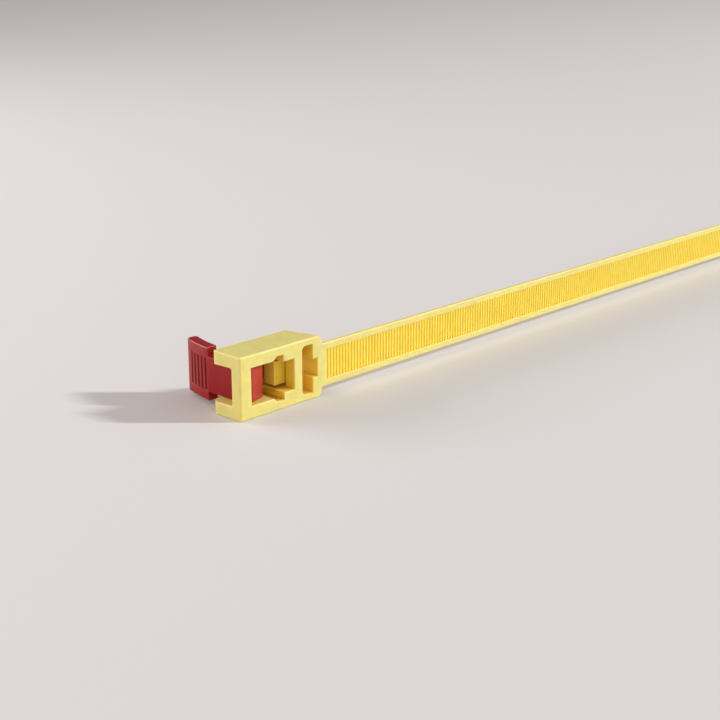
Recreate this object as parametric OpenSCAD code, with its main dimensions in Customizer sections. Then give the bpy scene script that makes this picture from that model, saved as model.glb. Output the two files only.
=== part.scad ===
// Releasable cable tie: a toothed strap moulded in one with its head, and a
// hinged lever in the head that lets the strap go again.
// The head stands on its narrow side, with the origin at the middle of its
// foot. X runs along the strap, Y from the toothed front face to the back, and
// Z is up.

/* [Strap] */
// Length of the strap outside the head
strap_l = 718; // [200:1:900]
// Width of the strap
strap_w = 13; // [9:0.1:16]
// Thickness of the strap
strap_t = 1.4; // [1.2:0.1:2]
// Width of the plain rail along each edge of the strap
rail_w = 1.95; // [1.2:0.05:2.6]
// Distance from one tooth to the next
tooth_pitch = 1.256; // [1:0.004:2]
// Depth of the grooves between the teeth
tooth_depth = 0.5; // [0.3:0.05:0.7]
// How far the tops of the teeth lie under the rails
tooth_sink = 0.12; // [0.05:0.01:0.2]
// Plain stretch between the head and the first tooth
root_l = 1.6; // [1:0.1:10]
// Plain stretch at the free end, taper included
tail_l = 62; // [45:1:100]
// Length of the taper at the free end
taper_l = 28; // [15:1:40]
// Width of the free end
tip_w = 6.4; // [4:0.1:8]

/* [Head] */
// Height of the head, across the strap
head_h = 18.5; // [17.5:0.1:24]
// Depth of the head, front to back
head_d = 12; // [11.6:0.1:16]
// Thickness of the front wall
front_wall = 3.85; // [3:0.05:4.2]
// Thickness of the wall behind the pawl
back_wall = 1.6; // [1:0.1:2]
// Radius of the two front corners at the strap end
end_r = 2; // [0.5:0.1:3]
// Radius of the long edges along the back
back_r = 1.4; // [0.4:0.1:2]
// Radius of the back corner at the open end, seen from above
corner_r = 2.2; // [1:0.1:4]
// How much shorter the head is at its back, behind the strap
end_slant = 1.3; // [0:0.1:1.6]
// How much shorter it is there above and below the strap
shoulder_slant = 2.7; // [1.6:0.1:3]

/* [Window] */
// Width of the bar at the open end of the head
end_bar_w = 4.15; // [3.6:0.05:6]
// Length of the bay in which the lever lies
lever_bay_l = 9.61; // [9.2:0.01:12]
// Height of the lever bay
bay_h = 10.8; // [9:0.1:12]
// Radius of the inner corners of the lever bay
bay_r = 0.7; // [0.3:0.1:1]
// Length of the window in front of the pawl
pawl_bay_l = 4.05; // [3.4:0.05:6]
// Height of the pawl chamber
pawl_bay_h = 9; // [7:0.1:9.4]
// Depth of the hinge grooves in the roof and the floor of the bay
groove_depth = 1.15; // [0.8:0.05:1.6]
// Width of the slanted side of the hinge grooves
groove_ramp = 1.3; // [0.5:0.1:1.6]

/* [Strap slot] */
// Width of the bar between the window and the strap slot
bar_w = 3.15; // [2.4:0.05:5]
// Free width of the slot beside the strap, for the pawl to swing
slot_room = 2.75; // [2.7:0.05:4]
// Clearance at each edge of the strap in the slot
slot_side_gap = 0.65; // [0.3:0.05:0.8]
// Radius of the slot corners beside the bar
slot_r = 1.3; // [0.4:0.1:1.6]
// Thickness of the wall between the slot and the strap
end_wall = 3.85; // [3.6:0.05:6]
// Height of the relief in that wall
relief_h = 5.4; // [4.5:0.1:7]
// Depth of the relief in that wall
relief_depth = 1.9; // [1.8:0.05:2]

/* [Pawl] */
// Clearance in front of the pawl
pawl_gap = 0.4; // [0.3:0.05:0.5]
// Clearance above and below the pawl
pawl_end_gap = 0.9; // [0.4:0.05:1]
// Depth of the pawl, front to back
pawl_d = 4.4; // [3.6:0.1:4.6]
// Thickness of the spring that carries the pawl
pawl_spring_t = 1.4; // [0.8:0.1:2]
// Distance from the left side of the pawl to its spring
pawl_spring_in = 1.6; // [0.8:0.1:2]
// Play between the strap and the tips of the pawl teeth
pawl_play = 0.9; // [0.85:0.05:1.2]

/* [Lever] */
// Distance from the open end of the head to the outer face of the lever
lever_set = 3.5; // [3:0.05:3.8]
// Thickness of the lever neck
neck_t = 3.35; // [2.8:0.05:4]
// Clearance above and below the lever
lever_gap = 0.18; // [0.1:0.01:0.3]
// Diameter of the hinge pins
pin_d = 2.5; // [1.8:0.05:2.8]
// Clearance round the hinge pins
pin_gap = 0.07; // [0.05:0.01:0.1]
// How far the hinge hub stands out round the pins
hub_wall = 0.3; // [0.2:0.05:0.5]
// Clearance between the hinge hub and the end of its bay
hub_gap = 0.35; // [0.3:0.05:0.5]
// Distance from the front face to the hinge axis
hinge_y = 9.8; // [9.4:0.05:10]
// How far the nose stands into the window
nose_in = 2.12; // [1:0.02:2.4]
// Length of the nose face
nose_l = 5.14; // [4:0.02:5.4]
// Angle of the nose face
nose_tilt = 15.5; // [10:0.5:20]
// Distance from the outer face of the lever to the nose
nose_x = 2.4; // [2:0.1:3]
// Distance from the front wall to the heel of the lever
heel_y = 1.35; // [1:0.05:2]

/* [Thumb plate] */
// Distance from the back of the head to the thumb plate
plate_y = 5.5; // [4:0.1:10]
// Length of the thumb plate along its curve
plate_l = 12.9; // [10:0.1:16]
// Height of the thumb plate
plate_h = 16; // [13:0.1:17.4]
// Thickness of the thumb plate
plate_t = 3.5; // [2.4:0.05:3.8]
// Radius of the curved outer face
plate_r = 50; // [40:1:80]
// Angle at which the curve leaves the neck
plate_lean = 5.3; // [0:0.1:8]
// Number of grip grooves
grip_n = 5; // [2:1:5]
// Distance between the grip grooves
grip_pitch = 1.9; // [1.4:0.05:2]
// Distance from the neck to the first grip groove
grip_inset = 1.2; // [0.8:0.1:2]
// Length of the grip grooves
grip_l = 9.4; // [6:0.1:10]
// Radius of the grip grooves
grip_r = 0.42; // [0.3:0.01:0.5]

/* [Hidden] */
$fn = 64;

yellow = [0.93, 0.86, 0.42];
red = [0.62, 0.13, 0.13];
over = 1;

// Stations along the head, from the open end to the strap
pin_groove_w = pin_d + 2 * pin_gap;
groove_x = end_bar_w + lever_bay_l;
pawl_x = groove_x + pin_groove_w;
bar_x = pawl_x + pawl_bay_l;
slot_x = bar_x + bar_w;
slot_w = strap_t + slot_room;
slot_end = slot_x + slot_w;
head_l = slot_end + end_wall;
slot_h = strap_w + 2 * slot_side_gap;
groove_h = bay_h + 2 * groove_depth;
groove_r = pin_groove_w / 2;
hinge = [groove_x + groove_r, hinge_y];
hub_r = pin_d / 2 + hub_wall;
bay_end = hinge[0] + hub_r + hub_gap;

// The pieces are drawn from the front edge of the open end, at mid height
to_foot = [-head_l / 2, -head_d / 2, head_h / 2];

// Strap teeth
tooth_zone_w = strap_w - 2 * rail_w;
tooth_n = floor((strap_l - root_l - tail_l) / tooth_pitch);
tooth_rise = 0.25;

// Pawl
pawl_h = pawl_bay_h - 2 * pawl_end_gap;
pawl_front = front_wall + pawl_gap;
pawl_back = pawl_front + pawl_d;
pawl_left = pawl_x + pawl_gap / 2;
pawl_tip = slot_end - strap_t - pawl_play;
pawl_root = pawl_tip - tooth_depth;
pawl_spring_x = pawl_left + pawl_spring_in;
pawl_tooth_n = floor((pawl_d - over) / tooth_pitch);
pawl_tooth_y = 0.6;
pawl_crest = 0.2;

// Lever
lever_h = bay_h - 2 * lever_gap;
heel = [lever_set, front_wall + heel_y];
nose = [lever_set + nose_x, front_wall - nose_in];
nose_end = nose + nose_l * [cos(nose_tilt), sin(nose_tilt)];
neck_x = lever_set + neck_t;
neck_fillet = 1;
web_y = hinge_y + 0.8;
neck_end = head_d + plate_y;
plate_centre = [lever_set + plate_r * cos(plate_lean), neck_end - plate_r * sin(plate_lean)];
degrees_per_mm = 180 / (PI * plate_r);
plate_turn = plate_lean + (plate_l - plate_t / 2) * degrees_per_mm;
plate_root = 0.6;
plate_corner_r = 1.2;
plate_fn = 360;
grip_start = plate_lean + grip_inset * degrees_per_mm;

// Extrudes a front view along Y
module from_front(y0, y1) {
    translate([0, y1, 0])
        rotate([90, 0, 0])
            linear_extrude(y1 - y0)
                children();
}

// Extrudes a side view along X
module from_side(x0, x1) {
    translate([x0, 0, 0])
        rotate([90, 0, 90])
            linear_extrude(x1 - x0)
                children();
}

// Extrudes a top view up and down from the middle plane of the strap
module from_top(h) {
    linear_extrude(h, center = true)
        children();
}

// A rectangle between x0 and x1, as high as h and centred on the X axis
module band(x0, x1, h) {
    translate([x0, -h / 2])
        square([x1 - x0, h]);
}

// What a rounded corner takes away, with the centre of its arc at the origin
module corner_waste(r) {
    difference() {
        square(r + over);
        circle(r);
    }
}

// The same at the upper and the lower corner of a band of height h
module corner_pair(x, h, r) {
    for (side = [0, 1])
        mirror([0, side])
            translate([x - r, h / 2 - r])
                corner_waste(r);
}

// The slanted strap end, with its two rounded corners, and all that lies before it
module head_end() {
    translate([head_l, 0, 0])
        rotate(atan(shoulder_slant / head_d))
            from_front(-head_l, head_l)
                difference() {
                    band(-2 * head_l, 0, head_h);
                    corner_pair(0, head_h, end_r);
                }
    from_top(strap_w)
        polygon([
            [0, 0], [head_l, 0], [head_l, strap_t], [head_l - end_slant, head_d], [0, head_d]
        ]);
}

// Outer block of the head, from three views
module head_block() {
    intersection() {
        head_end();
        from_side(0, head_l)
            difference() {
                band(0, head_d, head_h);
                corner_pair(head_d, head_h, back_r);
            }
        from_top(head_h)
            difference() {
                square([head_l, head_d]);
                translate([corner_r, head_d - corner_r])
                    mirror([1, 0])
                        corner_waste(corner_r);
            }
    }
}

// Bay for the lever, open at the end and at the back, with rounded inner corners
module lever_bay() {
    from_side(-over, bay_end)
        difference() {
            band(front_wall, head_d + over, bay_h);
            mirror([1, 0])
                corner_pair(-front_wall, bay_h, bay_r);
        }
    from_front(-over, front_wall + bay_r)
        band(end_bar_w, pawl_x, bay_h);
}

// Grooves that lead in from the front to the round seats of the hinge pins
module hinge_grooves() {
    half = bay_h / 2;
    step = groove_h / 2;
    from_front(-over, hinge_y)
        polygon([
            [groove_x - groove_ramp, -half], [groove_x, -step], [pawl_x, -step],
            [pawl_x, step], [groove_x, step], [groove_x - groove_ramp, half]
        ]);
    translate(hinge)
        cylinder(h = groove_h, r = groove_r, center = true);
}

// Chamber of the pawl, open to the window and to the strap slot
module pawl_chamber() {
    from_front(-over, front_wall + over)
        band(pawl_x - over, bar_x, pawl_bay_h);
    from_front(front_wall, head_d - back_wall)
        band(pawl_x - over, slot_x + over, pawl_bay_h);
}

// Slot for the strap, with a relief in the wall that faces the pawl
module strap_slot() {
    from_front(-over, head_d + over) {
        difference() {
            band(slot_x, slot_end, slot_h);
            translate([2 * slot_x, 0])
                mirror([1, 0])
                    corner_pair(slot_x, slot_h, slot_r);
        }
        band(slot_end - over, slot_end + relief_depth, relief_h);
    }
}

// Pawl on its spring, with teeth towards the strap
module pawl() {
    from_top(pawl_h) {
        translate([pawl_left, pawl_front])
            square([pawl_root - pawl_left, pawl_d]);
        translate([pawl_spring_x, pawl_back - over])
            square([pawl_spring_t, head_d - back_wall - pawl_back + 2 * over]);
        for (i = [0 : pawl_tooth_n - 1])
            translate([pawl_root, pawl_front + pawl_tooth_y + i * tooth_pitch])
                polygon([
                    [-pawl_crest, 0], [tooth_depth, pawl_crest],
                    [tooth_depth, 2 * pawl_crest], [-pawl_crest, tooth_pitch - pawl_crest / 2]
                ]);
    }
}

module head() {
    color(yellow)
        translate(to_foot) {
            difference() {
                head_block();
                lever_bay();
                hinge_grooves();
                pawl_chamber();
                strap_slot();
            }
            pawl();
        }
}

// Front view of the strap, with its tapered free end
module strap_outline() {
    end = head_l + strap_l;
    tip_r = tip_w / 2;
    polygon([
        [head_l, -strap_w / 2], [end - taper_l, -strap_w / 2], [end - tip_r, -tip_r],
        [end - tip_r, tip_r], [end - taper_l, strap_w / 2], [head_l, strap_w / 2]
    ]);
    translate([end - tip_r, 0])
        circle(tip_r);
}

// Top view of what the grooves between the teeth take away
module tooth_waste() {
    start = head_l + root_l;
    end = start + tooth_n * tooth_pitch;
    polygon(concat(
        [[start, -over], [start, tooth_depth]],
        [for (i = [1 : tooth_n - 1], tip = [false, true])
            [start + (tip ? i : i - tooth_rise) * tooth_pitch, tip ? tooth_sink : tooth_depth]],
        [[end, tooth_depth], [end, -over]]
    ));
}

module strap() {
    color(yellow)
        translate(to_foot)
            difference() {
                from_front(0, strap_t)
                    strap_outline();
                from_top(tooth_zone_w)
                    tooth_waste();
            }
}

// Top view of the lever inside the head, and of its neck
module lever_plan() {
    polygon([
        heel, nose, nose_end,
        hinge + hub_r * [cos(45), -sin(45)],
        hinge + [0, hub_r],
        [neck_x + neck_fillet, web_y],
        [neck_x, web_y + neck_fillet],
        [neck_x, neck_end + plate_root],
        [lever_set, neck_end]
    ]);
    translate(hinge)
        circle(hub_r);
}

// Top view of the curved thumb plate, with its round end
module plate_plan() {
    intersection() {
        translate(plate_centre)
            difference() {
                circle(plate_r, $fn = plate_fn);
                circle(plate_r - plate_t, $fn = plate_fn);
            }
        translate(plate_centre)
            polygon([[0, 0], [-2 * plate_r, 0], 2 * plate_r * [-cos(plate_turn), sin(plate_turn)]]);
        translate([lever_set - over, neck_end])
            square([plate_l, 2 * plate_l]);
    }
    translate(plate_centre + (plate_r - plate_t / 2) * [-cos(plate_turn), sin(plate_turn)])
        circle(plate_t / 2);
}

module thumb_plate() {
    plate_end = plate_centre[1] + (plate_r - plate_t / 2) * sin(plate_turn) + plate_t / 2;
    intersection() {
        from_top(plate_h)
            plate_plan();
        from_side(0, lever_set + 2 * plate_l)
            difference() {
                band(neck_end, plate_end, plate_h);
                corner_pair(plate_end, plate_h, plate_corner_r);
            }
    }
}

// Upright grooves in the outer face of the thumb plate
module grip_grooves() {
    for (i = [0 : grip_n - 1]) {
        turn = grip_start + i * grip_pitch * degrees_per_mm;
        translate(plate_centre + plate_r * [-cos(turn), sin(turn)])
            cylinder(h = grip_l, r = grip_r, center = true);
    }
}

module release_lever() {
    color(red)
        translate(to_foot) {
            difference() {
                union() {
                    from_top(lever_h)
                        lever_plan();
                    thumb_plate();
                }
                grip_grooves();
            }
            translate(hinge)
                cylinder(h = groove_h - 2 * lever_gap, d = pin_d, center = true);
        }
}

head();
strap();
release_lever();
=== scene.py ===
# %% [markdown]
# # A releasable cable tie, dressed for the camera
# The CAD frame already holds the three mouldings at their true places and sizes: the
# head, the toothed strap that is moulded in one with it, and the red release lever.
# Blender never moves or resizes them. What it adds is what a mould and a hand leave
# behind: soft edges, rounded teeth, a satin skin, and light that shows them.
# The first cell loads that frame, from which the box of each part is read.

# %% Load the frame
import math
from contextlib import contextmanager

import bmesh
import bpy
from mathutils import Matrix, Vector


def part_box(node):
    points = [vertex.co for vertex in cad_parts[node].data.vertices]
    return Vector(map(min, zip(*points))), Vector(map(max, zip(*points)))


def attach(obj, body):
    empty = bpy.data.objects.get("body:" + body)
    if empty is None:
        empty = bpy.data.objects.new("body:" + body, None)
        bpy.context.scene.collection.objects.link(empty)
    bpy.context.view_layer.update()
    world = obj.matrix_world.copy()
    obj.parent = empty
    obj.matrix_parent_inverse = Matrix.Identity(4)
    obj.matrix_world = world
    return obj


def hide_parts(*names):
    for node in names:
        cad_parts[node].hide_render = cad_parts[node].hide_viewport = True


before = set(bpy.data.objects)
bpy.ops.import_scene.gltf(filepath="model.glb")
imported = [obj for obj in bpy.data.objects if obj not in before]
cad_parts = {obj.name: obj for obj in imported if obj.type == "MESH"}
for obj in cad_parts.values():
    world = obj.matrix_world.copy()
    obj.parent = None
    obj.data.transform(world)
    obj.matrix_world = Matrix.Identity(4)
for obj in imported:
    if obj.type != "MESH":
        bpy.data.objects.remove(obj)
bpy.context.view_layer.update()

# %% [markdown]
# ## The camera
# A long lens close to the table gives the photograph its look: the head stands large on
# the left, and the strap runs off to the right and shrinks only slowly. A camera can be
# placed by eye, but the strap is so long that a small error in its turn shows at the far
# end. So the lens and the place were worked out from edges that are parallel on the real
# part. Depth of field stays off, so that other views of the same scene stay sharp.

# %% Camera
LENS = 70
SENSOR = 36
CAMERA_PLACE = (-0.25580, -0.27623, 0.13073)
CAMERA_TILT = math.radians(72.618)
CAMERA_TURN = math.radians(-46.749)


def add_object(name, data):
    """Puts new data in the scene as an object."""
    obj = bpy.data.objects.new(name, data)
    bpy.context.scene.collection.objects.link(obj)
    return obj


camera = add_object("camera", bpy.data.cameras.new("camera"))
camera.data.lens = LENS
camera.data.sensor_width = SENSOR
camera.data.clip_start = 0.01
camera.data.clip_end = 60
camera.location = CAMERA_PLACE
camera.rotation_euler = (CAMERA_TILT, 0, CAMERA_TURN)
bpy.context.scene.camera = camera
print("camera stands", round(camera.location.length, 3), "m from the head's foot")

# %% [markdown]
# ## Two helpers for node trees
# The room's light, the edge radii and every finish below are trees of nodes. The first
# helper adds one node, makes its settings, and fills each of its inputs with a value or
# with a link from another node. The second adds the node that is needed most, which
# turns one span of numbers into another, such as a nearness into a brightness.

# %% Node helpers
def add_node(tree, kind, inputs=None, **settings):
    """A node with its settings made and its inputs filled or linked."""
    node = tree.nodes.new(kind)
    for name, value in settings.items():
        setattr(node, name, value)
    for name, value in (inputs or {}).items():
        if isinstance(value, bpy.types.NodeSocket):
            tree.links.new(value, node.inputs[name])
        else:
            node.inputs[name].default_value = value
    return node


def remap(tree, value, start, end, low=0.0, high=1.0, **settings):
    """Low up to start, high from end on, and a ramp between them."""
    spans = {"Value": value, "From Min": start, "From Max": end, "To Min": low, "To Max": high}
    return add_node(tree, "ShaderNodeMapRange", spans, **settings).outputs[0]


# %% [markdown]
# ## The stage
# The real part was photographed on pale paper. A sheet that curves up behind the part
# would do, but one big plane gives the floor and the backdrop at once: the camera looks
# down, so the paper fills the picture up to its top edge. The world colour stands for
# the white walls of the studio. Such walls stand beside and behind the camera, so the
# side that the camera looks at is darker: the nearer a direction comes to that way, the
# lower is its light.

# %% Floor and room
PAPER = (0.725, 0.70, 0.70, 1)
PAPER_ROUGHNESS = 0.75
FLOOR_SIDE = 14
ROOM_COLOUR = (1, 0.925, 0.90, 1)
ROOM_LEVEL = 0.465
BACK_LEVEL = 0.20
BACK_WAY = (0.66, 0.70, 0.28)
BACK_START = 0.6

bpy.context.scene.view_settings.view_transform = "Standard"

half = FLOOR_SIDE / 2
corners = [(-half, -half, 0), (half, -half, 0), (half, half, 0), (-half, half, 0)]
floor_mesh = bpy.data.meshes.new("floor")
floor_mesh.from_pydata(corners, [], [(0, 1, 2, 3)])
floor = add_object("floor", floor_mesh)

paper = bpy.data.materials.new("paper")
paper.use_nodes = True
paper_shader = paper.node_tree.nodes["Principled BSDF"]
paper_shader.inputs["Base Color"].default_value = PAPER
paper_shader.inputs["Roughness"].default_value = PAPER_ROUGHNESS
floor_mesh.materials.append(paper)

room = bpy.data.worlds.new("white_room")
bpy.context.scene.world = room
room.use_nodes = True
tree = room.node_tree
seen_way = add_node(tree, "ShaderNodeTexCoord").outputs["Generated"]
both_ways = {0: seen_way, 1: BACK_WAY}
ahead = add_node(tree, "ShaderNodeVectorMath", both_ways, operation="DOT_PRODUCT")
level = remap(tree, ahead.outputs["Value"], BACK_START, 1.0, ROOM_LEVEL, BACK_LEVEL)
room_light = tree.nodes["Background"]
room_light.inputs["Color"].default_value = ROOM_COLOUR
tree.links.new(level, room_light.inputs["Strength"])
print("floor", FLOOR_SIDE, "m wide; room light", ROOM_LEVEL, "and ahead", BACK_LEVEL)

# %% [markdown]
# ## The lamps
# Three lamps are easier to tune than a picture of a studio as a world, because each
# answers for one thing, and the photograph tells where its light comes from. The shadow
# falls to the left and back, so the main lamp stands low on the right, in front. The
# shadow's long sides are crisp and its far end is soft: that lamp is narrow and tall. It
# is aimed past the head, because the far strap is as bright as the head, and the paper
# is brighter at the back of the picture than in front. The end of the head, the thumb
# plate and the walls inside the window face away from it and are still bright, so two
# broad dim panels help: one beside the camera, which looks into the recesses, and one
# far on the left, which also lifts the paper there. Their light is a little warmer than
# the main lamp's.

# %% Lamps
COOL = (0.97, 1, 1)
WARM = (1, 0.96, 0.95)
PAST_THE_HEAD = (0.9, 0.9, 0)


def add_lamp(name, size, power, place, colour, target=(0, 0, 0)):
    """A lamp of a size in metres and a power in watts that faces the head or a target."""
    lamp = bpy.data.lights.new(name, "AREA")
    lamp.shape = "RECTANGLE"
    lamp.size, lamp.size_y = size
    lamp.energy = power
    lamp.color = colour
    obj = add_object(name, lamp)
    obj.location = place
    obj.rotation_euler = (Vector(target) - Vector(place)).to_track_quat("-Z", "Y").to_euler()


add_lamp("key", (0.16, 0.46), 130, (2.43, -2.58, 1.85), COOL, PAST_THE_HEAD)
add_lamp("camera_side", (1.9, 0.8), 9.3, (-1.25, -1.5, 0.34), WARM)
add_lamp("left_panel", (0.8, 0.4), 8.2, (-0.5, 0.9, 0.35), WARM)
print(len(bpy.data.lights), "lamps")

# %% [markdown]
# ## Soft edges on the head and the lever
# No moulded edge is sharp: the tool is cut with small radii, and each one draws a thin
# bright line in the light. The outer edges are rounder than those round the windows, and
# the small ribs inside have hardly any radius. A single bevel for the whole part can't
# do that, so each edge gets a weight of its own. A weld joins the triangles of the
# imported mesh, a planar dissolve gives whole faces back, a small node tree writes the
# weights by the place of each edge, and the bevel reads them. All four are modifiers, so
# the CAD mesh below them stays as the frame gave it.
#
# The node tree starts with a box: an edge whose middle lies in it is chosen. Three more
# helpers go with it, one for a node group with named sockets, one for a sum on numbers
# and one for a sum on vectors.

# %% Choose edges by a box
MM = 0.001


def start_group(name, kind, inputs, outputs):
    """A node group with its sockets: the tree, what it is given, and what it gives."""
    tree = bpy.data.node_groups.new(name, kind)
    for label, form in inputs:
        tree.interface.new_socket(label, in_out="INPUT", socket_type="NodeSocket" + form)
    for label, form in outputs:
        tree.interface.new_socket(label, in_out="OUTPUT", socket_type="NodeSocket" + form)
    given = add_node(tree, "NodeGroupInput").outputs
    return tree, given, add_node(tree, "NodeGroupOutput").inputs


def math_node(tree, operation, a, b=0.0):
    """The result of one sum on two numbers or sockets."""
    return add_node(tree, "ShaderNodeMath", {0: a, 1: b}, operation=operation).outputs[0]


def vector_node(tree, operation, a, b=(0, 0, 0)):
    """The result of one sum on two vectors or sockets."""
    return add_node(tree, "ShaderNodeVectorMath", {0: a, 1: b}, operation=operation).outputs[0]


def edge_in_box(tree, low, high):
    """1 where the middle of an edge lies between two corners, else 0."""
    place = add_node(tree, "GeometryNodeInputPosition").outputs[0]
    centre, reach = (low + high) / 2, (high - low) / 2
    size = vector_node(tree, "ABSOLUTE", vector_node(tree, "SUBTRACT", place, centre))
    over = vector_node(tree, "SUBTRACT", size, reach)
    axes = add_node(tree, "ShaderNodeSeparateXYZ", {0: over}).outputs
    most = math_node(tree, "MAXIMUM", math_node(tree, "MAXIMUM", axes[0], axes[1]), axes[2])
    return math_node(tree, "LESS_THAN", most, 0.0)


# %% [markdown]
# The tree itself gives every sharp edge that stands out the inner weight, and then lets
# each box in turn replace it. An edge that stands in, such as the foot of a wall, gets
# no radius. A sharp edge without weight is marked to be shaded as sharp.

# %% A weight for every edge
SHARP = math.radians(32)
LEAST_WEIGHT = 0.01


def edge_weights(name, inner, zones):
    """A tree that stores the bevel weight: inner, or what the last zone over an edge says."""
    mesh_socket = [("Mesh", "Geometry")]
    tree, given, gives = start_group(name, "GeometryNodeTree", mesh_socket, mesh_socket)
    angle = add_node(tree, "GeometryNodeInputMeshEdgeAngle").outputs
    sharp = math_node(tree, "GREATER_THAN", angle["Unsigned Angle"], SHARP)
    ridge = math_node(tree, "GREATER_THAN", angle["Signed Angle"], SHARP)
    weight = inner
    for low, high, share in zones:
        inside = edge_in_box(tree, low, high)
        choice = {"Switch": inside, "True": share, "False": weight}
        weight = add_node(tree, "GeometryNodeSwitch", choice, input_type="FLOAT").outputs[0]
    weight = math_node(tree, "MULTIPLY", weight, ridge)
    no_radius = math_node(tree, "LESS_THAN", weight, LEAST_WEIGHT)
    stored = add_node(
        tree, "GeometryNodeStoreNamedAttribute",
        {"Geometry": given[0], "Name": "bevel_weight_edge", "Value": weight},
        data_type="FLOAT", domain="EDGE",
    )
    kept_sharp = math_node(tree, "MULTIPLY", sharp, no_radius)
    shaded = add_node(
        tree, "GeometryNodeSetShadeSmooth",
        {"Geometry": stored.outputs[0], "Selection": kept_sharp, "Shade Smooth": False},
        domain="EDGE",
    )
    tree.links.new(shaded.outputs[0], gives[0])
    return tree


# %% [markdown]
# The four modifiers go on in this order. The bevel takes its width from the weights, and
# isn't clamped, because one short edge would then shrink the radius of the whole part.

# %% The four modifiers
WELD = 0.002 * MM
FLAT = math.radians(0.6)
BEVEL_STEPS = 4


def soften(node, radius, inner, zones):
    """Rounds the edges of a CAD node with modifiers."""
    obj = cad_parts[node]
    weld = obj.modifiers.new("weld", "WELD")
    weld.merge_threshold = WELD
    faces = obj.modifiers.new("whole_faces", "DECIMATE")
    faces.decimate_type = "DISSOLVE"
    faces.angle_limit = FLAT
    weights = obj.modifiers.new("edge_weights", "NODES")
    weights.node_group = edge_weights(node + "_edge_weights", inner, zones)
    bevel = obj.modifiers.new("mould_radius", "BEVEL")
    bevel.width = radius
    bevel.segments = BEVEL_STEPS
    bevel.limit_method = "WEIGHT"
    bevel.offset_type = "WIDTH"
    bevel.loop_slide = False
    bevel.use_clamp_overlap = False
    bevel.harden_normals = True
    obj.data.shade_smooth()
    print(node, "has", len(obj.modifiers), "modifiers and", len(zones), "zones of weight")
    return obj


# %% [markdown]
# The zones of the head are written from its box: the outer skin at the top, the foot and
# the open end takes the full radius, the rims of the openings in the front take less.
# Where the strap grows out of the head, both faces are one moulding without an edge, so
# the weight there is nothing, apart from the front edge beside the strap. The fine teeth
# of the pawl get nothing, and neither do the corners that are round on the CAD part.

# %% Round the head
HEAD_EDGE = 0.85 * MM
INNER_SHARE = 0.35
FAR = 1.0
SKIN = 2.02 * MM
NEAR = 0.05 * MM

low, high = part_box("head")


def zone(share, x=(-FAR, FAR), y=(-FAR, FAR), z=(-FAR, FAR)):
    """A box with the weight of the edges in it; an axis that isn't named is not limited."""
    return Vector((x[0], y[0], z[0])), Vector((x[1], y[1], z[1])), share


in_front = (-FAR, low.y + NEAR)
head = soften("head", HEAD_EDGE, INNER_SHARE, [
    # the front face with the rims of its openings
    zone(0.6, y=in_front),
    # the top, the foot and the open end
    zone(1.0, z=(high.z - SKIN, FAR)),
    zone(1.0, z=(-FAR, low.z + SKIN)),
    zone(0.9, x=(-FAR, low.x + 2 * NEAR)),
    # the face that the strap grows out of, then its front edge
    zone(0.0, x=(high.x - 1.6 * MM, FAR), z=(low.z + 2.6 * MM, high.z - 2.6 * MM)),
    zone(0.6, x=(high.x - 2 * NEAR, FAR), y=in_front, z=(low.z + SKIN, high.z - SKIN)),
    # the back corners at the strap and at the open end
    zone(0.0, x=(high.x - 5 * MM, FAR), y=(high.y - 3.2 * MM, FAR)),
    zone(0.0, x=(-FAR, low.x + 2.4 * MM), y=(high.y - 2.19 * MM, FAR)),
    # the teeth of the pawl
    zone(0.0, x=(low.x + 24.6 * MM, low.x + 26 * MM), y=(low.y + 4.6 * MM, low.y + 9 * MM)),
    # the round inner corners of the lever's bay, behind the front wall
    zone(0.0, x=(low.x + 3 * MM, low.x + 17 * MM), y=(low.y + 3.7 * MM, low.y + 4.7 * MM)),
])

# %% [markdown]
# The thumb plate of the lever is made to be pressed, so it is the roundest part. Its grip
# grooves are cut with a thin tool, and their rims stay crisp. The hub and the pins turn
# in the head and are left almost as they are.

# %% Round the lever
LEVER_EDGE = 1.0 * MM
PLATE_LENGTH = 12.8 * MM
GRIP_HALF = 4.9 * MM

low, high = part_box("release_lever")
middle = (low.z + high.z) / 2
plate_start = high.y - PLATE_LENGTH
grip = (middle - GRIP_HALF, middle + GRIP_HALF)
lever = soften("release_lever", LEVER_EDGE, INNER_SHARE, [
    # the root of the thumb plate, then the plate
    zone(0.5, y=(plate_start, FAR)),
    zone(1.0, y=(plate_start + 1.0 * MM, FAR)),
    # the rims of the grip grooves
    zone(0.18, x=(-FAR, low.x + 3 * MM), y=(plate_start + 0.6 * MM, FAR), z=grip),
    # the hub and the pins
    zone(0.0, x=(low.x + 4 * MM, FAR), y=(0, plate_start - 4 * MM)),
])
graph = bpy.context.evaluated_depsgraph_get()
for obj in (head, lever):
    print(obj.name, len(obj.evaluated_get(graph).data.vertices), "vertices with soft edges")

# %% [markdown]
# ## The strap
# The strap is one long moulding with a row of saw teeth sunk between two plain rails.
# Modelled tooth by tooth it would be hundreds of small objects. It is easier to see it as
# one cross-section that is swept along: at each station only the depth of the middle
# part changes, and near the free end its width. So the mesh is a grid: a list of
# stations along X, and the same ring of points round the strap at each of them. Seven
# stations for each tooth give its groove and its crest round corners, and the ring has
# small arcs at the four long edges.
# The sizes repeat those of the CAD strap, which this piece stands for. Only the teeth are
# a little shallower, because grooves of full depth looked darker than the photograph's.

# %% Stations along the strap
PITCH = 1.256 * MM
GROOVE = 0.38 * MM
CREST_SINK = 0.08 * MM
ROOT = 1.6 * MM
FIRST_WALL = 0.06 * MM
TAIL = 62 * MM
OVERLAP = 1.2 * MM

low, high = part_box("strap")
strap_x0, strap_x1 = low.x, high.x
strap_y0, strap_z = low.y, (low.z + high.z) / 2
strap_t = high.y - low.y
strap_half = (high.z - low.z) / 2
teeth = int((strap_x1 - strap_x0 - ROOT - TAIL) / PITCH + 1e-6)

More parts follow.
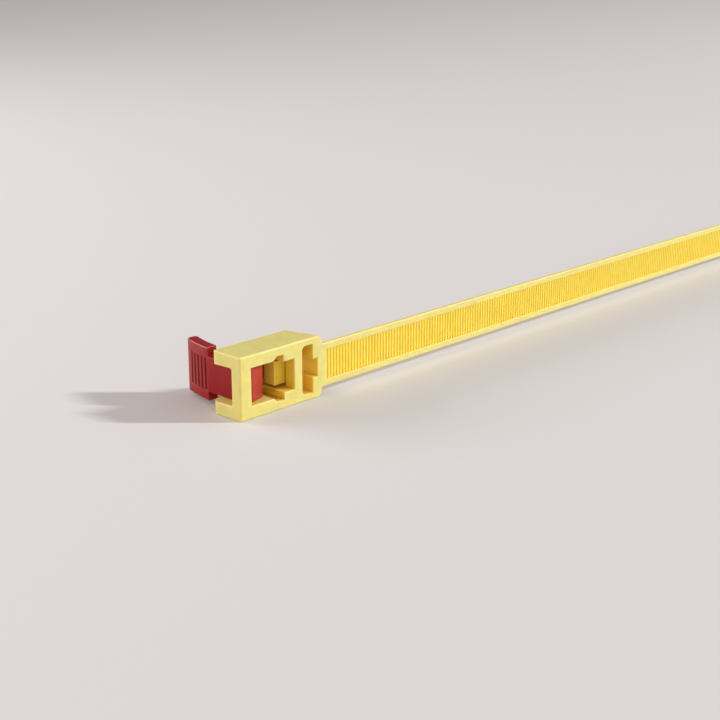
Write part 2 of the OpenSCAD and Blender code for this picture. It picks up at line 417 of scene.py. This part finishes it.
# a groove and the crest behind it: shares of the pitch, and of the drop from crest to groove
TOOTH_SHAPE = [
    (0.0, 0.12), (0.035, 0.85), (0.08, 1.0), (0.53, 0.92), (0.64, 0.12), (0.68, 0.0),
    (0.965, 0.0),
]


def tooth_stations():
    """(x, depth) from the root, which reaches into the head, over all teeth to the tail."""
    first = strap_x0 + ROOT
    drop = GROOVE - CREST_SINK
    yield strap_x0 - OVERLAP, 0
    yield first - FIRST_WALL, 0
    for i in range(teeth):
        for share, deep in TOOTH_SHAPE:
            yield first + (i + share) * PITCH, CREST_SINK + deep * drop
    yield first + teeth * PITCH, 0


# %% [markdown]
# Behind the teeth the strap is plain, with a taper and a round tip that go easily into
# the slot. They need only a few stations more. Round the tip these come closer together
# towards the end, so that its outline stays round.

# %% The free end
TAPER = 28 * MM
TIP_HALF = 3.2 * MM
TIP_STEPS = (20, 38, 54, 68, 80)


def half_width(x):
    """Half the strap's width at x: a taper and then a round end."""
    tip = strap_x1 - TIP_HALF
    if x <= strap_x1 - TAPER:
        return strap_half
    if x <= tip:
        share = (x - strap_x1 + TAPER) / (TAPER - TIP_HALF)
        return strap_half + (TIP_HALF - strap_half) * share
    return math.sqrt(max(TIP_HALF**2 - (x - tip) ** 2, 0))


stations = [(x, depth, half_width(x)) for x, depth in tooth_stations()]
stations += [(strap_x1 - TAPER, 0, strap_half), (strap_x1 - TIP_HALF, 0, TIP_HALF)]
for degrees in TIP_STEPS:
    x = strap_x1 - TIP_HALF * (1 - math.sin(math.radians(degrees)))
    stations.append((x, 0, half_width(x)))
print(teeth, "teeth and", len(stations), "stations")

# %% [markdown]
# The ring starts at the lower long edge, crosses the toothed front and comes back over
# the plain back. Its points lie close together where the rails step down to the teeth,
# so that the step gets a round edge.

# %% A ring of points
RAIL = 1.95 * MM
STRAP_EDGE = 0.3 * MM
RAIL_EDGE = 0.12 * MM
ARC = (0, math.pi / 6, math.pi / 3, math.pi / 2)


def ring(depth, half):
    """Points round the strap as (depth, height), lower edge first."""
    # near the tip the arcs and the rails shrink with the strap
    r = min(STRAP_EDGE, half * 0.6)
    inner = max(half - RAIL, half * 0.1)
    arc = [(r * (1 - math.sin(a)), r * (1 - math.cos(a))) for a in ARC]
    front = [(y, -half + z) for y, z in arc]
    # the round step from the rail down to the teeth
    front += [(0, -inner - RAIL_EDGE), (min(depth, RAIL_EDGE * 0.3), -inner - RAIL_EDGE * 0.3)]
    front += [(depth * 0.75, -inner), (depth, -inner + RAIL_EDGE)]
    back = [(strap_t - y, half - z) for y, z in arc]
    upper_front = [(y, -z) for y, z in reversed(front)]
    lower_back = [(y, -z) for y, z in reversed(back)]
    return front + upper_front + back + lower_back


print("a ring has", len(ring(0, strap_half)), "points")

# %% [markdown]
# The mesh joins each ring to the next. Its faces also choose a finish: the crests of the
# teeth take the second and the grooves between them the third. These are a lit and a
# shaded copy of the yellow, both smoother and deeper in colour than the satin rails; the
# grooves' deeper yellow is painted shade between the crests. The depth at a face tells which
# of them it is.

# %% The grid
TOOTHED = range(5, 10)
IS_CREST = CREST_SINK * 0.9
IS_GROOVE = CREST_SINK * 1.5


@contextmanager
def edited(mesh):
    """Opens a mesh for a change in bmesh, and writes the change back."""
    bm = bmesh.new()
    bm.from_mesh(mesh)
    yield bm
    bm.to_mesh(mesh)
    bm.free()


def strap_mesh():
    """The strap as one closed grid of stations and rings."""
    mesh = bpy.data.meshes.new("strap_skin")
    verts, faces, finishes = [], [], []
    for x, depth, half_w in stations:
        verts += [(x, strap_y0 + y, strap_z + z) for y, z in ring(depth, half_w)]
    n = len(ring(0, strap_half))
    for s in range(len(stations) - 1):
        deep = (stations[s][1] + stations[s + 1][1]) / 2
        for k in range(n):
            a, b = s * n + k, s * n + (k + 1) % n
            faces.append((a, b, b + n, a + n))
            # crests take finish 1, the lit copy; grooves take finish 2, the painted shade
            finishes.append((deep > IS_CREST) + (deep > IS_GROOVE) if k in TOOTHED else 0)
    faces.append(tuple(reversed(range(n))))
    faces.append(tuple(range((len(stations) - 1) * n, len(stations) * n)))
    mesh.from_pydata(verts, [], faces)
    for face, finish in zip(mesh.polygons, finishes + [0, 0]):
        face.material_index = finish
        face.use_smooth = True
    return mesh


strap = add_object("strap_grid", strap_mesh())
with edited(strap.data) as bm:
    bmesh.ops.recalc_face_normals(bm, faces=bm.faces)
print("strap grid:", len(strap.data.polygons), "faces")

# %% [markdown]
# ## One skin for head and strap
# Head and strap are one shot of plastic, and the light that seeps through it must pass
# from one into the other: two closed meshes side by side would show a dark seam. So the
# root of the grid reaches a little into the head, and a boolean union makes one closed
# skin of both. The softened head is copied for it as it is evaluated, with its modifiers.
#
# Beside the root the bevel runs a little past the step between head and strap, which
# would leave a slit. In the copy those points are set on the step and joined first.

# %% A copy of the head
ROOT_REACH = 0.6 * MM
ROOT_MERGE = 0.06 * MM
SLIVER = 0.001 * MM


def evaluated_mesh(obj):
    """A new mesh of an object as its modifiers make it."""
    graph = bpy.context.evaluated_depsgraph_get()
    return bpy.data.meshes.new_from_object(obj.evaluated_get(graph))


def beside_root(place):
    """Whether a point of the head lies at the front edge of the strap's root."""
    near = place.x > strap_x0 - ROOT_REACH and place.y < strap_y0 + ROOT_REACH
    return near and abs(place.z - strap_z) < strap_half + 0.01 * MM


head_copy = add_object("head_copy", evaluated_mesh(head))
head_copy.data.transform(head.matrix_world)
with edited(head_copy.data) as bm:
    at_root = [v for v in bm.verts if beside_root(v.co)]
    for v in at_root:
        v.co.z = strap_z + math.copysign(strap_half, v.co.z - strap_z)
    bmesh.ops.remove_doubles(bm, verts=at_root, dist=ROOT_MERGE)
    bmesh.ops.dissolve_degenerate(bm, edges=bm.edges, dist=SLIVER)
    open_edges = sum(not e.is_manifold for e in bm.edges)
print("root of the strap:", len(at_root), "points set on the step, open edges", open_edges)

# %% [markdown]
# After the union every face is smooth, and only edges with a real corner are marked
# sharp. Weighted normals then keep the large faces flat beside their round edges. The
# skin rides on the tie's body, and stands for both nodes.

# %% Join them
union = strap.modifiers.new("union", "BOOLEAN")
union.operation = "UNION"
union.solver = "MANIFOLD"
union.object = head_copy
tie = add_object("tie_skin", evaluated_mesh(strap))
for spare in (strap, head_copy):
    bpy.data.objects.remove(spare)
with edited(tie.data) as bm:
    for face in bm.faces:
        face.smooth = True
    for edge in bm.edges:
        edge.smooth = edge.calc_face_angle(0) < SHARP
flatter = tie.modifiers.new("flat_faces_stay_flat", "WEIGHTED_NORMAL")
flatter.keep_sharp = True
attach(tie, "tie")
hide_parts("head", "strap")
print("tie skin:", len(tie.data.polygons), "faces")

# %% [markdown]
# ## What the finishes share
# All the finishes are moulded plastic, so they share their effects, and each effect is a
# node group that is built once. The first paints light and shade into the colour of a part.
# A hollow gets a darker, warmer colour as painted shade, which stands in for the shade and
# for the light that bounces through the plastic there, and the parts far inside get a
# darker one still; an outer edge gets a paler colour as a painted highlight. Two ambient
# occlusion nodes find those places from the shape itself: one looks outwards for hollows,
# one looks inwards for edges. The colours could be painted on the mesh instead, but then
# each change of the shape would ask for new paint. One more helper mixes two colours.

# %% Group: painted shade and highlight
RAYS = 12


def mix_colour(tree, factor, a, b, blend="MIX"):
    """From colour a to colour b as the factor goes from 0 to 1."""
    colours = {"Factor": factor, 6: a, 7: b}
    mixed = add_node(tree, "ShaderNodeMix", colours, data_type="RGBA", blend_type=blend)
    return mixed.outputs[2]


def openness(tree, reach, **settings):
    """1 where no other surface of the part is within reach, less where there is one."""
    look = add_node(
        tree, "ShaderNodeAmbientOcclusion", {"Distance": reach},
        samples=RAYS, only_local=True, **settings,
    )
    return look.outputs["AO"]


tree, given, gives = start_group(
    "painted_shade_and_highlight", "ShaderNodeTree",
    [("Face", "Color"), ("Hollow", "Color"), ("Depth", "Color"), ("Edge", "Color"),
     ("Hollow Reach", "Float"), ("Edge Reach", "Float")],
    [("Colour", "Color")],
)
outside = openness(tree, given["Hollow Reach"])
inside = openness(tree, given["Edge Reach"], inside=True)
# the painted shade of a hollow starts where a little of the view is covered, its darkest part
# where half of it is
hollow = remap(tree, outside, 0.95, 0.62, interpolation_type="SMOOTHSTEP")
far_in = remap(tree, outside, 0.55, 0.1)
rim = remap(tree, inside, 0.95, 0.55)
# an edge inside a hollow gets no painted highlight
edge = add_node(
    tree, "ShaderNodeMath", {0: rim, 1: hollow}, operation="SUBTRACT", use_clamp=True
)
# painted shade in the hollows, darker still far inside
deepest_shade = mix_colour(tree, far_in, given["Hollow"], given["Depth"])
deep = mix_colour(tree, hollow, given["Face"], deepest_shade)
# painted highlight along the outer edges
pale = mix_colour(tree, edge.outputs[0], deep, given["Edge"])
tree.links.new(pale, gives["Colour"])
print("group", tree.name)

# %% [markdown]
# The second effect is the skin. A mould is spark-eroded, which leaves a satin grain about
# a tenth of a millimetre across, and the plastic shrinks a little as it cools, which
# leaves long shallow waves. Grain this fine would need millions of faces as a shape, and
# a picture of it would need a map and show seams, so it is noise that the shader works
# out. The noise lies in object space and stays put when the part moves. The group puts
# out a height for the bump and a slow cloudiness that makes the colour a little uneven,
# as it is in any clear plastic.

# %% Group: moulded skin
tree, given, gives = start_group(
    "moulded_skin", "ShaderNodeTree",
    [("Grain Size", "Float"), ("Wave Size", "Float"), ("Grain Share", "Float")],
    [("Height", "Float"), ("Cloudiness", "Float")],
)
place = add_node(tree, "ShaderNodeTexCoord").outputs["Object"]
grain_scale = math_node(tree, "DIVIDE", 1.0, given["Grain Size"])
wave_scale = math_node(tree, "DIVIDE", 1.0, given["Wave Size"])
grain = add_node(
    tree, "ShaderNodeTexNoise",
    {"Vector": place, "Scale": grain_scale, "Detail": 3.0, "Roughness": 0.6},
)
wave = add_node(
    tree, "ShaderNodeTexNoise", {"Vector": place, "Scale": wave_scale, "Detail": 1.5}
)
height = add_node(
    tree, "ShaderNodeMix",
    {"Factor": given["Grain Share"], 2: wave.outputs["Fac"], 3: grain.outputs["Fac"]},
    data_type="FLOAT",
)
tree.links.new(height.outputs[0], gives["Height"])
tree.links.new(wave.outputs["Fac"], gives["Cloudiness"])
print("group", tree.name)

# %% [markdown]
# The third effect is what handling leaves: fine scratches along the part, as from sliding
# in a bag with others, and a few specks of dust. The scratches are noise stretched along
# the strap and cut off high, so that only thin broken streaks are left. The specks are
# the middles of the cells of a Voronoi pattern, of which the few that lie at the surface
# show. Both give one mask, so that a finish can make colour and roughness answer to the
# same marks.

# %% Group: handling marks
STREAK_TURN = (0.2, 0.35, 0.12)
STREAK_SCALE = (220, 5200, 5200)
DUST_SCALE = 420.0

tree, given, gives = start_group(
    "handling_marks", "ShaderNodeTree",
    [("Scratches", "Float"), ("Dust", "Float")], [("Mask", "Float")],
)
place = add_node(tree, "ShaderNodeTexCoord").outputs["Object"]
stretched = add_node(
    tree, "ShaderNodeMapping",
    {"Vector": place, "Rotation": STREAK_TURN, "Scale": STREAK_SCALE},
)
streaks = add_node(
    tree, "ShaderNodeTexNoise", {"Vector": stretched.outputs[0], "Scale": 1.0, "Detail": 2.0}
)
cells = add_node(
    tree, "ShaderNodeTexVoronoi", {"Vector": place, "Scale": DUST_SCALE, "Randomness": 1.0}
)
# only the highest streaks and the middles of the cells are left
scratch = remap(tree, streaks.outputs["Fac"], 0.66, 0.74)
speck = remap(tree, cells.outputs["Distance"], 0.055, 0.035)
mask = math_node(
    tree, "MAXIMUM",
    math_node(tree, "MULTIPLY", scratch, given["Scratches"]),
    math_node(tree, "MULTIPLY", speck, given["Dust"]),
)
tree.links.new(mask, gives["Mask"])
print("group", tree.name)

# %% [markdown]
# ## The finishes
# Each finish is one Principled shader. Its colour comes from the group that paints shade
# into hollows and a highlight onto edges, made a little uneven by the cloudiness and a
# little paler by the marks; its roughness rises with the marks; its bump is the skin.
# Subsurface light makes the walls glow near an edge, as thin moulded plastic does. The
# values that are the same all over the part are set on the shader itself.

# %% Moulded plastic
EDGE_REACH = 0.5 * MM
WAVE = 2.6 * MM
GRAIN_HEIGHT = 0.02 * MM
SCRATCHES = 0.5
SPECKS = 0.6
MARK_COLOUR = (0.78, 0.74, 0.66, 1)
MARK_SHARE = 0.22
MARK_ROUGHNESS = 0.2


def shared_effect(tree, name, inputs):
    """Adds one of the groups above to a material, with its values."""
    group = bpy.data.node_groups[name]
    return add_node(tree, "ShaderNodeGroup", inputs, node_tree=group).outputs


def moulded_plastic(
    name, face, hollow, deepest_shade, edge, hollow_reach, rough, gloss,
    seep, seep_depth, seep_colour, grain, grain_share, bump,
):
    """A finish of moulded plastic: its colours with painted shade and highlight, its skin, and
    how light seeps into it.
    """
    material = bpy.data.materials.new(name)
    material.use_nodes = True
    tree = material.node_tree
    shader = tree.nodes["Principled BSDF"]
    shader.inputs["Specular IOR Level"].default_value = gloss
    shader.inputs["Subsurface Weight"].default_value = seep
    shader.inputs["Subsurface Radius"].default_value = seep_colour
    shader.inputs["Subsurface Scale"].default_value = seep_depth

    # painted shade in the hollows and a painted highlight on the edges
    depth = shared_effect(tree, "painted_shade_and_highlight", {
        "Face": (*face, 1), "Hollow": (*hollow, 1), "Depth": (*deepest_shade, 1), "Edge": (*edge, 1),
        "Hollow Reach": hollow_reach, "Edge Reach": EDGE_REACH,
    })
    grains = {"Grain Size": grain, "Wave Size": WAVE, "Grain Share": grain_share}
    skin = shared_effect(tree, "moulded_skin", grains)
    marks = shared_effect(tree, "handling_marks", {"Scratches": SCRATCHES, "Dust": SPECKS})

    # the cloudiness makes the colour up to a few hundredths darker or brighter
    cloud = remap(tree, skin["Cloudiness"], 0.3, 0.7, 0.965, 1.035)
    uneven = mix_colour(tree, 1.0, depth["Colour"], cloud, blend="MULTIPLY")
    faint = math_node(tree, "MULTIPLY", marks["Mask"], MARK_SHARE)
    tree.links.new(mix_colour(tree, faint, uneven, MARK_COLOUR), shader.inputs["Base Color"])
    worn = remap(tree, marks["Mask"], 0.0, 1.0, rough, rough + MARK_ROUGHNESS)
    tree.links.new(worn, shader.inputs["Roughness"])
    relief = {"Strength": bump, "Distance": GRAIN_HEIGHT, "Height": skin["Height"]}
    uneven_skin = add_node(tree, "ShaderNodeBump", relief)
    tree.links.new(uneven_skin.outputs[0], shader.inputs["Normal"])
    return material


# %% [markdown]
# The yellow is a clear nylon with little pigment. On the head and the rails it has a
# satin skin and looks pale; its orange in the recesses is painted shade. The teeth are
# smoother: their crests are a little deeper in colour than the rails, and the grooves
# take a deep yellow that is painted shade, the shaded copy beside the lit crests.

# %% The three yellow finishes
# the hollow colours are painted shade, the edge colour a painted highlight
satin_yellow = moulded_plastic(
    "satin_yellow",
    face=(0.725, 0.645, 0.21), hollow=(0.80, 0.58, 0.05), deepest_shade=(0.70, 0.40, 0.035),
    edge=(0.76, 0.70, 0.29), hollow_reach=9 * MM, rough=0.44, gloss=0.5,
    seep=1.0, seep_depth=1.3 * MM, seep_colour=(1.0, 0.55, 0.12),
    grain=0.11 * MM, grain_share=0.45, bump=0.35,
)
# the crests' yellow is the lit copy beside the grooves
crest_yellow = moulded_plastic(
    "crest_yellow",
    face=(0.71, 0.655, 0.14), hollow=(0.74, 0.64, 0.09), deepest_shade=(0.74, 0.64, 0.09),
    edge=(0.71, 0.66, 0.16), hollow_reach=1 * MM, rough=0.42, gloss=0.42,
    seep=1.0, seep_depth=1.4 * MM, seep_colour=(1.0, 0.6, 0.12),
    grain=0.12 * MM, grain_share=0.4, bump=0.3,
)
# painted shade: the deep yellow of the grooves between the crests
groove_shade_yellow = moulded_plastic(
    "groove_shade_yellow",
    face=(0.79, 0.62, 0.024), hollow=(0.79, 0.59, 0.02), deepest_shade=(0.79, 0.59, 0.02),
    edge=(0.78, 0.65, 0.04), hollow_reach=1 * MM, rough=0.34, gloss=0.4,
    seep=1.0, seep_depth=1.6 * MM, seep_colour=(1.0, 0.8, 0.1),
    grain=0.14 * MM, grain_share=0.3, bump=0.2,
)
print("yellow finishes:", satin_yellow.name, crest_yellow.name, groove_shade_yellow.name)

# %% [markdown]
# The lever is pigmented red, so that it is easy to find. It is glossier than the tie, and
# hardly lets light in. Its nose stands in the window, where the main lamp shines on it, and
# it looks paler than the rest of the lever: that light is painted on as a paler red, a
# painted highlight. A second material on the nose would end at a hard line, so a ramp
# along Y, which runs from the front of the head to the back, blends the painted highlight in.

# %% The red finish
# painted highlight on the nose: its paler red, its share, and the span in Y where it fades in
NOSE_HIGHLIGHT_RED = (0.46, 0.05, 0.038, 1)
NOSE_HIGHLIGHT_SHARE = 0.8
NOSE_HIGHLIGHT_FROM = -1.2 * MM
NOSE_HIGHLIGHT_TO = -2.4 * MM

# the hollow reds are painted shade in the grip grooves and under the plate, the edge red a
# painted highlight
lever_red = moulded_plastic(
    "lever_red",
    face=(0.295, 0.003, 0.004), hollow=(0.2, 0.002, 0.003), deepest_shade=(0.12, 0.002, 0.002),
    edge=(0.42, 0.024, 0.02), hollow_reach=3 * MM, rough=0.34, gloss=0.27,
    seep=0.25, seep_depth=0.5 * MM, seep_colour=(0.5, 0.05, 0.05),
    grain=0.16 * MM, grain_share=0.4, bump=0.25,
)
tree = lever_red.node_tree
base_colour = tree.nodes["Principled BSDF"].inputs["Base Color"]
red_without_highlight = base_colour.links[0].from_socket
place = add_node(tree, "ShaderNodeTexCoord").outputs["Object"]
depth_in = add_node(tree, "ShaderNodeSeparateXYZ", {0: place}).outputs["Y"]
# painted highlight, none behind the nose and stronger towards the front of the head
nose_highlight = remap(tree, depth_in, NOSE_HIGHLIGHT_FROM, NOSE_HIGHLIGHT_TO, 0.0, NOSE_HIGHLIGHT_SHARE)
tree.links.new(mix_colour(tree, nose_highlight, red_without_highlight, NOSE_HIGHLIGHT_RED), base_colour)
print("red finish:", lever_red.name, "paler from", round(NOSE_HIGHLIGHT_FROM / MM, 1), "mm in Y")

# %% [markdown]
# The CAD lever keeps its mesh and gets the red in its own slot. The skin of the tie gets
# its three yellows in the order in which its faces name them.

# %% Put the finishes on
for obj, finishes in ((lever, [lever_red]), (tie, [satin_yellow, crest_yellow, groove_shade_yellow])):
    for number, finish in enumerate(finishes):
        if number < len(obj.material_slots):
            obj.material_slots[number].material = finish
        else:
            obj.data.materials.append(finish)
    print(obj.name, "wears", [finish.name for finish in finishes])
